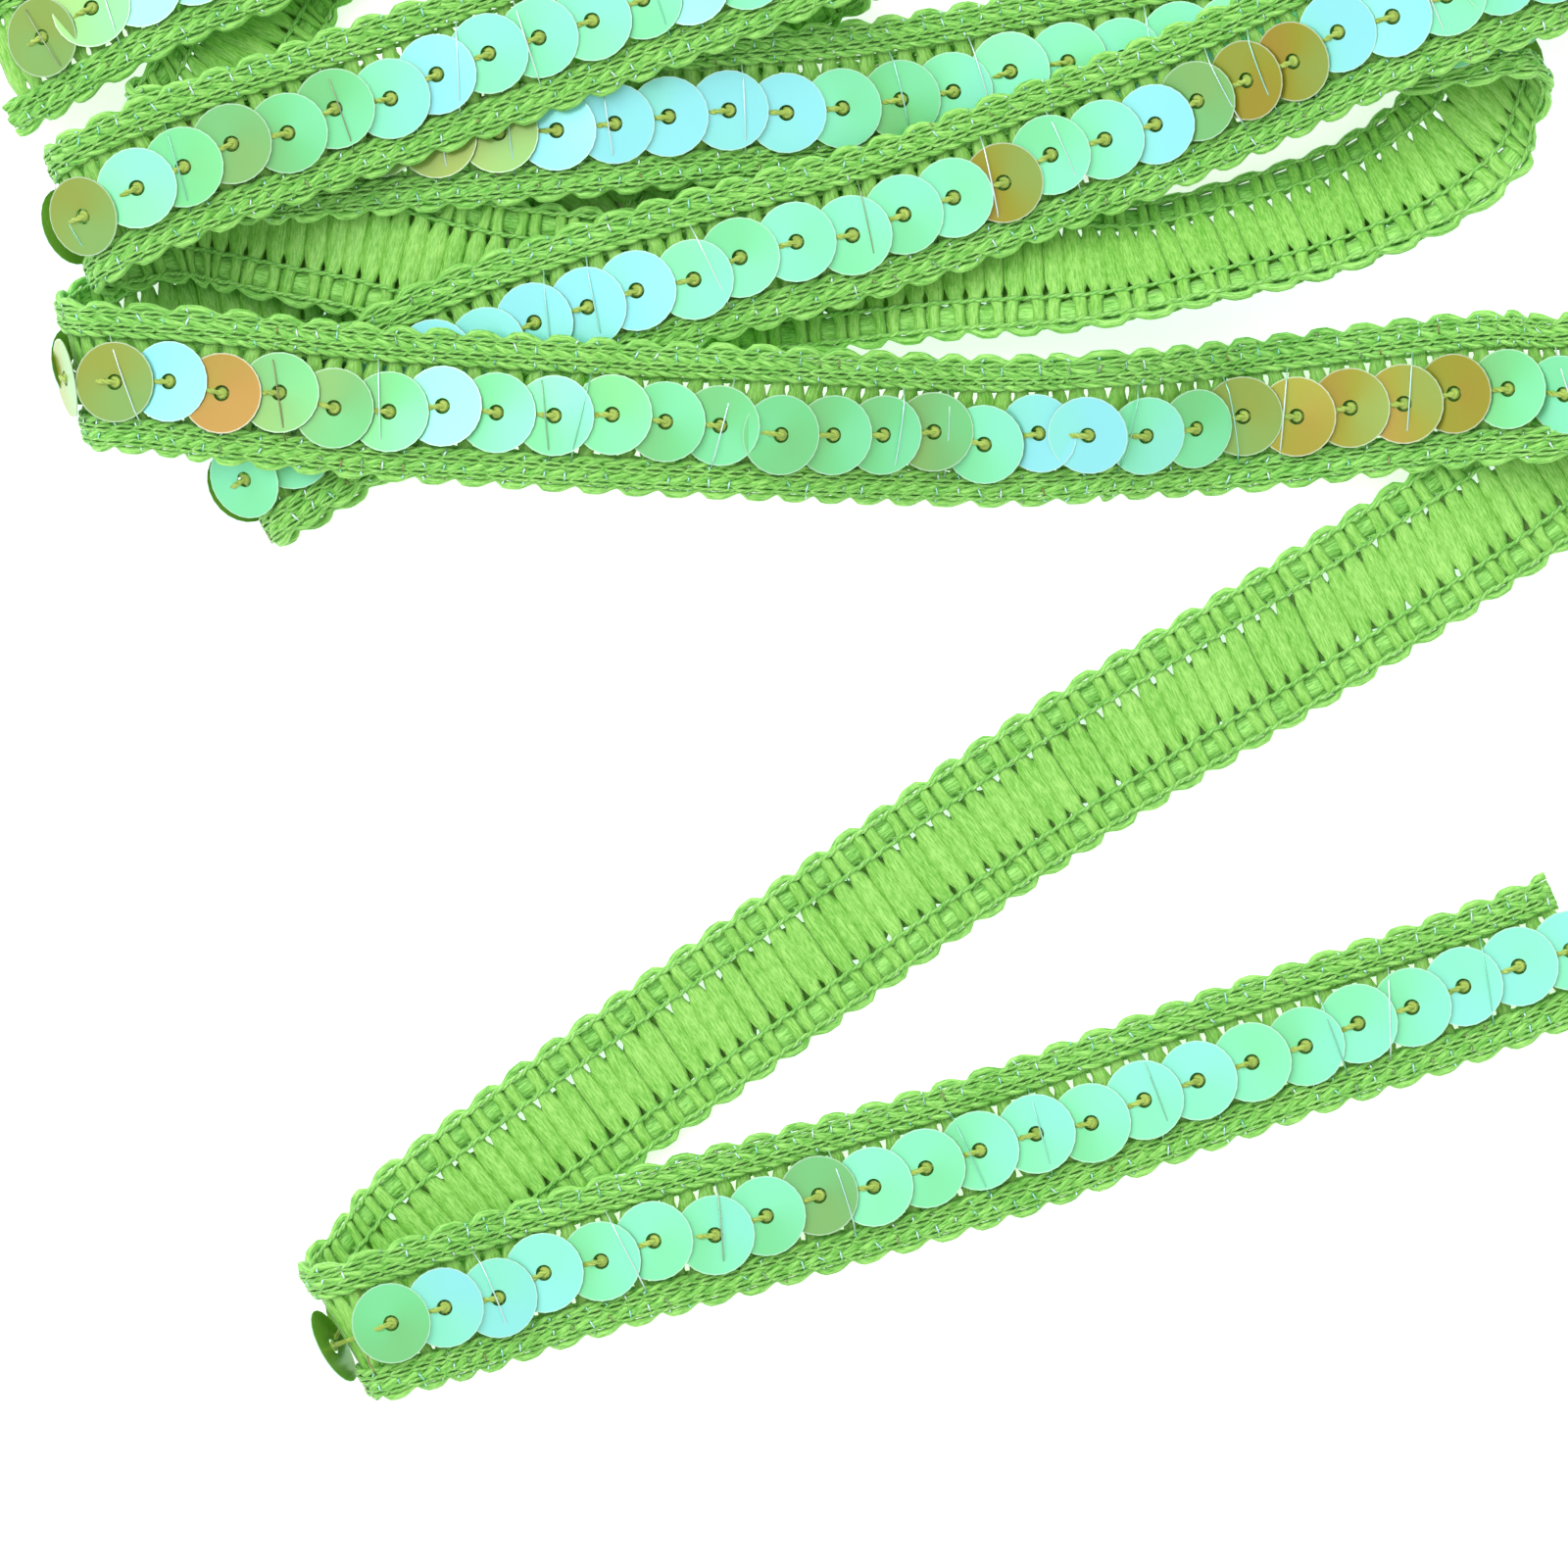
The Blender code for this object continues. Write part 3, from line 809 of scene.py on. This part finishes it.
def make_film_strands(material):
    """A few fine clear strands that lie over the sequins from one border to the other."""
    chance = np.random.default_rng(41)
    starts = repeats(9.0, 4.0)
    starts = starts + chance.uniform(-3.5, 3.5, len(starts))
    t = np.linspace(0.0, 1.0, 7)
    lean = chance.uniform(-2.2, 2.2, (len(starts), 1))
    along = np.clip(starts[:, None] + lean * (t - 0.5), 0.2, TRIM_LENGTH - 0.2)
    across = -3.2 + 6.8 * t + 0 * along
    out = 0.45 + 0.87 * np.sin(pi * t) ** 0.3 + 0 * along
    paths = np.stack([along, across, out], axis=-1)
    bundle = strand_rings(paths, 0.07, 0.03, 4)
    return add_strands("film_strands", [bundle], material)


def new_group(name, inputs, outputs):
    """An empty shader node group with named sockets, its input node and its output node."""
    group = bpy.data.node_groups.new(name, "ShaderNodeTree")
    for label, kind, value in inputs:
        socket = group.interface.new_socket(label, in_out="INPUT", socket_type=kind)
        socket.default_value = value
    for label, kind in outputs:
        group.interface.new_socket(label, in_out="OUTPUT", socket_type=kind)
    return group, group.nodes.new("NodeGroupInput"), group.nodes.new("NodeGroupOutput")


def kept_mark(tree, mark):
    """A node that reads one of the marks kept at the points of a piece."""
    node = tree.nodes.new("ShaderNodeAttribute")
    node.attribute_name = mark
    return node


def scaled(tree, source, factors):
    """A vector multiplied by three factors."""
    node = tree.nodes.new("ShaderNodeVectorMath")
    node.operation = "MULTIPLY"
    node.inputs[1].default_value = factors
    tree.links.new(source, node.inputs[0])
    return node.outputs[0]


def noise(tree, source, scale, detail):
    """Noise between 0 and 1 over a vector."""
    node = tree.nodes.new("ShaderNodeTexNoise")
    node.inputs["Scale"].default_value = scale
    node.inputs["Detail"].default_value = detail
    tree.links.new(source, node.inputs["Vector"])
    return node.outputs["Fac"]


def arithmetic(tree, operation, first, second):
    """A math node over two numbers, each a socket or a plain value."""
    node = tree.nodes.new("ShaderNodeMath")
    node.operation = operation
    for socket, value in zip(node.inputs, (first, second)):
        if isinstance(value, (int, float)):
            socket.default_value = value
        else:
            tree.links.new(value, socket)
    return node.outputs[0]


def mixed(tree, factor, first, second, blend="MIX"):
    """A colour mix, each part a socket or a plain value."""
    node = tree.nodes.new("ShaderNodeMix")
    node.data_type = "RGBA"
    node.blend_type = blend
    for socket, value in ((node.inputs[0], factor), (node.inputs[6], first), (node.inputs[7], second)):
        if isinstance(value, (int, float, tuple)):
            socket.default_value = value
        else:
            tree.links.new(value, socket)
    return node.outputs[2]


def make_fibre_group():
    """Dyed fibres: streaks along the yarn, a slow drift of shade and each strand's own shade."""
    colour = "NodeSocketColor"
    number = "NodeSocketFloat"
    group, given, result = new_group(
        "Dyed fibres",
        [
            ("Light", colour, (0.3, 0.7, 0.1, 1.0)),
            ("Dark", colour, (0.1, 0.3, 0.02, 1.0)),
            ("Streaks", number, 1.0),
        ],
        [("Colour", colour), ("Height", number)],
    )
    place = kept_mark(group, "fibre_place").outputs["Vector"]
    streaks = noise(group, scaled(group, place, (1.3, 8.0, 8.0)), 1.0, 2.0)
    fine = noise(group, scaled(group, place, (5.0, 9.0, 9.0)), 1.0, 1.0)
    drift = noise(group, scaled(group, place, (0.22, 0.5, 0.5)), 1.0, 1.0)
    shade = kept_mark(group, "strand_shade").outputs["Fac"]
    total = arithmetic(group, "MULTIPLY", arithmetic(group, "SUBTRACT", streaks, 0.5), 2.4)
    total = arithmetic(group, "MULTIPLY", total, given.outputs["Streaks"])
    total = arithmetic(group, "ADD", total, arithmetic(group, "MULTIPLY", fine, 0.6))
    total = arithmetic(group, "ADD", total, arithmetic(group, "MULTIPLY", drift, 0.6))
    total = arithmetic(group, "ADD", total, arithmetic(group, "MULTIPLY", shade, 0.2))
    total = arithmetic(group, "SUBTRACT", total, 0.15)
    colours = mixed(group, total, given.outputs["Dark"], given.outputs["Light"])
    group.links.new(colours, result.inputs["Colour"])
    group.links.new(arithmetic(group, "ADD", streaks, fine), result.inputs["Height"])
    return group


def make_twist_group():
    """Two plies twisted together: ridges that wind round the yarn, used for bumps and as the mask of
    painted shade in the grooves.
    """
    number = "NodeSocketFloat"
    group, given, result = new_group("Twisted plies", [("Turns", number, 1.0)], [("Ridge", number)])
    parts = group.nodes.new("ShaderNodeSeparateXYZ")
    group.links.new(kept_mark(group, "fibre_place").outputs["Vector"], parts.inputs[0])
    around = arithmetic(group, "ARCTAN2", parts.outputs["Z"], parts.outputs["Y"])
    along = arithmetic(group, "MULTIPLY", parts.outputs["X"], given.outputs["Turns"])
    along = arithmetic(group, "MULTIPLY", along, 2 * pi)
    wave = arithmetic(group, "SINE", arithmetic(group, "ADD", along, around), 0.0)
    wave = arithmetic(group, "ABSOLUTE", wave, 0.0)
    group.links.new(wave, result.inputs["Ridge"])
    return group


def new_material(name):
    """A material with its Principled shader."""
    material = bpy.data.materials.new(name)
    material.use_nodes = True
    return material, material.node_tree, material.node_tree.nodes["Principled BSDF"]


def make_yarn(name, fibres, light, dark, streaks, roughness, twist=None, turns=1.0):
    """Yarn of dyed fibres, plain or of two twisted plies with painted shade in the grooves between the
    plies.
    """
    material, tree, shader = new_material(name)
    node = tree.nodes.new("ShaderNodeGroup")
    node.node_tree = fibres
    node.inputs["Light"].default_value = (*light, 1.0)
    node.inputs["Dark"].default_value = (*dark, 1.0)
    node.inputs["Streaks"].default_value = streaks
    colour, height = node.outputs["Colour"], node.outputs["Height"]
    relief = tree.nodes.new("ShaderNodeBump")
    relief.inputs["Strength"].default_value = 0.6
    relief.inputs["Distance"].default_value = 0.00006
    if twist is not None:
        plies = tree.nodes.new("ShaderNodeGroup")
        plies.node_tree = twist
        plies.inputs["Turns"].default_value = turns
        ridge = plies.outputs["Ridge"]
        height = arithmetic(tree, "ADD", height, arithmetic(tree, "MULTIPLY", ridge, 2.0))
        # Painted shade: the grooves between the plies are mixed towards the dark colour, and the
        # ridges keep the fibre colour.
        painted_groove_shade = arithmetic(tree, "ADD", arithmetic(tree, "MULTIPLY", ridge, 0.7), 0.4)
        colour = mixed(tree, painted_groove_shade, (*dark, 1.0), colour)
    tree.links.new(height, relief.inputs["Height"])
    tree.links.new(colour, shader.inputs["Base Color"])
    tree.links.new(relief.outputs["Normal"], shader.inputs["Normal"])
    shader.inputs["Roughness"].default_value = roughness
    shader.inputs["Sheen Weight"].default_value = 0.2
    shader.inputs["Sheen Roughness"].default_value = 0.4
    return material


# From the bluest film to the reddest
FILM_COLOURS = (
    (0.30, 0.84, 0.88),
    (0.29, 0.90, 0.70),
    (0.26, 0.90, 0.50),
    (0.20, 0.74, 0.29),
    (0.21, 0.54, 0.18),
    (0.28, 0.45, 0.10),
    (0.34, 0.34, 0.025),
    (0.42, 0.24, 0.035),
)
FILM_BACK = (0.22, 0.45, 0.06)


def make_film():
    """Iridescent film: each disc's own colour from one scale, which shifts a little across it."""
    material, tree, shader = new_material("sequin_film_scene")
    film = kept_mark(tree, "film_colour").outputs["Fac"]
    turn = kept_mark(tree, "film_turn").outputs["Fac"]
    place = kept_mark(tree, "disc_place").outputs["Vector"]
    parts = tree.nodes.new("ShaderNodeSeparateXYZ")
    tree.links.new(place, parts.inputs[0])
    across, beside, through = parts.outputs
    angle = arithmetic(tree, "ARCTAN2", beside, across)
    angle = arithmetic(tree, "ADD", angle, arithmetic(tree, "MULTIPLY", turn, 2 * pi))
    conic = arithmetic(tree, "MULTIPLY", arithmetic(tree, "SINE", angle, 0.0), 0.06)
    drift = arithmetic(tree, "ADD", conic, arithmetic(tree, "MULTIPLY", across, 0.05))
    ramp = tree.nodes.new("ShaderNodeValToRGB")
    tree.links.new(arithmetic(tree, "ADD", film, drift), ramp.inputs["Fac"])
    stops = ramp.color_ramp.elements
    last = len(FILM_COLOURS) - 1
    stops[0].color = (*FILM_COLOURS[0], 1.0)
    stops[1].color = (*FILM_COLOURS[last], 1.0)
    for number in range(1, last):
        stops.new(number / last).color = (*FILM_COLOURS[number], 1.0)
    flat = scaled(tree, place, (1.0, 1.0, 0.0))
    radius = tree.nodes.new("ShaderNodeVectorMath")
    radius.operation = "LENGTH"
    tree.links.new(flat, radius.inputs[0])
    rim = arithmetic(tree, "GREATER_THAN", radius.outputs["Value"], 0.965)
    rim = arithmetic(tree, "MULTIPLY", rim, 0.45)
    underside = arithmetic(tree, "LESS_THAN", through, -0.01)
    colour = mixed(tree, rim, ramp.outputs["Color"], (0.75, 0.92, 0.80, 1.0))
    colour = mixed(tree, underside, colour, (*FILM_BACK, 1.0))
    tree.links.new(colour, shader.inputs["Base Color"])
    shader.inputs["Metallic"].default_value = 0.25
    shader.inputs["Roughness"].default_value = 0.22
    return material


def make_glitter_film():
    """Cut film that catches the light, clear, blue-green or brown."""
    material, tree, shader = new_material("glitter_film")
    ramp = tree.nodes.new("ShaderNodeValToRGB")
    tree.links.new(kept_mark(tree, "strand_shade").outputs["Fac"], ramp.inputs["Fac"])
    stops = ramp.color_ramp.elements
    stops[0].color = (0.30, 0.26, 0.10, 1.0)
    stops[1].color = (0.80, 0.95, 0.95, 1.0)
    stops.new(0.25).color = (0.30, 0.80, 0.60, 1.0)
    stops.new(0.60).color = (0.55, 0.90, 0.85, 1.0)
    tree.links.new(ramp.outputs["Color"], shader.inputs["Base Color"])
    shader.inputs["Roughness"].default_value = 0.15
    shader.inputs["Metallic"].default_value = 0.5
    return material


def make_studio():
    """A white floor lit from behind, an even pale surround and one wide soft light overhead."""
    material, _, shader = new_material("white_floor")
    shader.inputs["Base Color"].default_value = (0.9, 0.9, 0.9, 1.0)
    shader.inputs["Roughness"].default_value = 0.9
    shader.inputs["Emission Color"].default_value = (1.0, 1.0, 1.0, 1.0)
    shader.inputs["Emission Strength"].default_value = 0.6
    bpy.ops.mesh.primitive_plane_add(size=4.0, location=(0.0, 0.0, -0.0002))
    floor = bpy.context.object
    floor.name = "studio_floor"
    floor.data.materials.append(material)
    world = bpy.data.worlds.new("studio")
    world.use_nodes = True
    surround = world.node_tree.nodes["Background"]
    surround.inputs["Color"].default_value = (1.0, 1.0, 1.0, 1.0)
    surround.inputs["Strength"].default_value = 0.80
    bpy.context.scene.world = world
    light = bpy.data.lights.new("wide_soft_light", "SUN")
    light.angle = radians(50)
    light.energy = 1.6
    lamp = bpy.data.objects.new("wide_soft_light", light)
    lamp.rotation_euler = (radians(-25), radians(-25), 0.0)
    bpy.context.scene.collection.objects.link(lamp)
    bpy.context.scene.view_settings.view_transform = "Standard"


# The view is 116.8 mm across, straight down on the plan's own origin
VIEW_WIDTH = 116.8
LENS = 250.0
SENSOR = 36.0
VIEW_LEVEL = 5.0


def make_camera():
    """A long lens straight above the heap."""
    data = bpy.data.cameras.new("camera")
    data.lens = LENS
    data.sensor_width = SENSOR
    camera = bpy.data.objects.new("camera", data)
    away = VIEW_WIDTH * LENS / SENSOR + VIEW_LEVEL
    camera.location = (-HEAP_MIDDLE[0] * METRES, -HEAP_MIDDLE[1] * METRES, away * METRES)
    data.clip_end = 10.0
    bpy.context.scene.collection.objects.link(camera)
    bpy.context.scene.camera = camera


def make_trim():
    """Every yarn, sequin and strand of the trim."""
    fibres = make_fibre_group()
    twist = make_twist_group()
    lime = make_yarn("lime_yarn", fibres, (0.42, 0.88, 0.20), (0.09, 0.42, 0.03), 1.0, 0.6)
    floss = make_yarn("lime_floss", fibres, (0.38, 0.78, 0.16), (0.13, 0.47, 0.03), 1.0, 0.45)
    fine = make_yarn(
        "fine_lime_yarn", fibres, (0.45, 0.90, 0.23), (0.10, 0.44, 0.03), 0.8, 0.5, twist, 0.8
    )
    cotton = make_yarn("olive_thread", fibres, (0.50, 0.66, 0.12), (0.16, 0.30, 0.02), 0.8, 0.45)
    film = make_film()
    glitter = make_glitter_film()
    places = sequin_places()
    weft = make_weft(floss)
    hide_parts("trim_tape")
    borders = [make_scallops(lime), *make_inlays(lime), *make_chains(fine), make_back_lines(fine)]
    frames = sequin_frames(places)
    discs = make_sequins(places, frames, film)
    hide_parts(*[f"sequins_{run.name}" for run in RUNS])
    sewn = [discs, make_thread(places, frames, cotton), make_knots(frames, cotton)]
    sewn += [make_glitter(glitter), make_film_strands(glitter)]


make_camera()
make_trim()
make_studio()
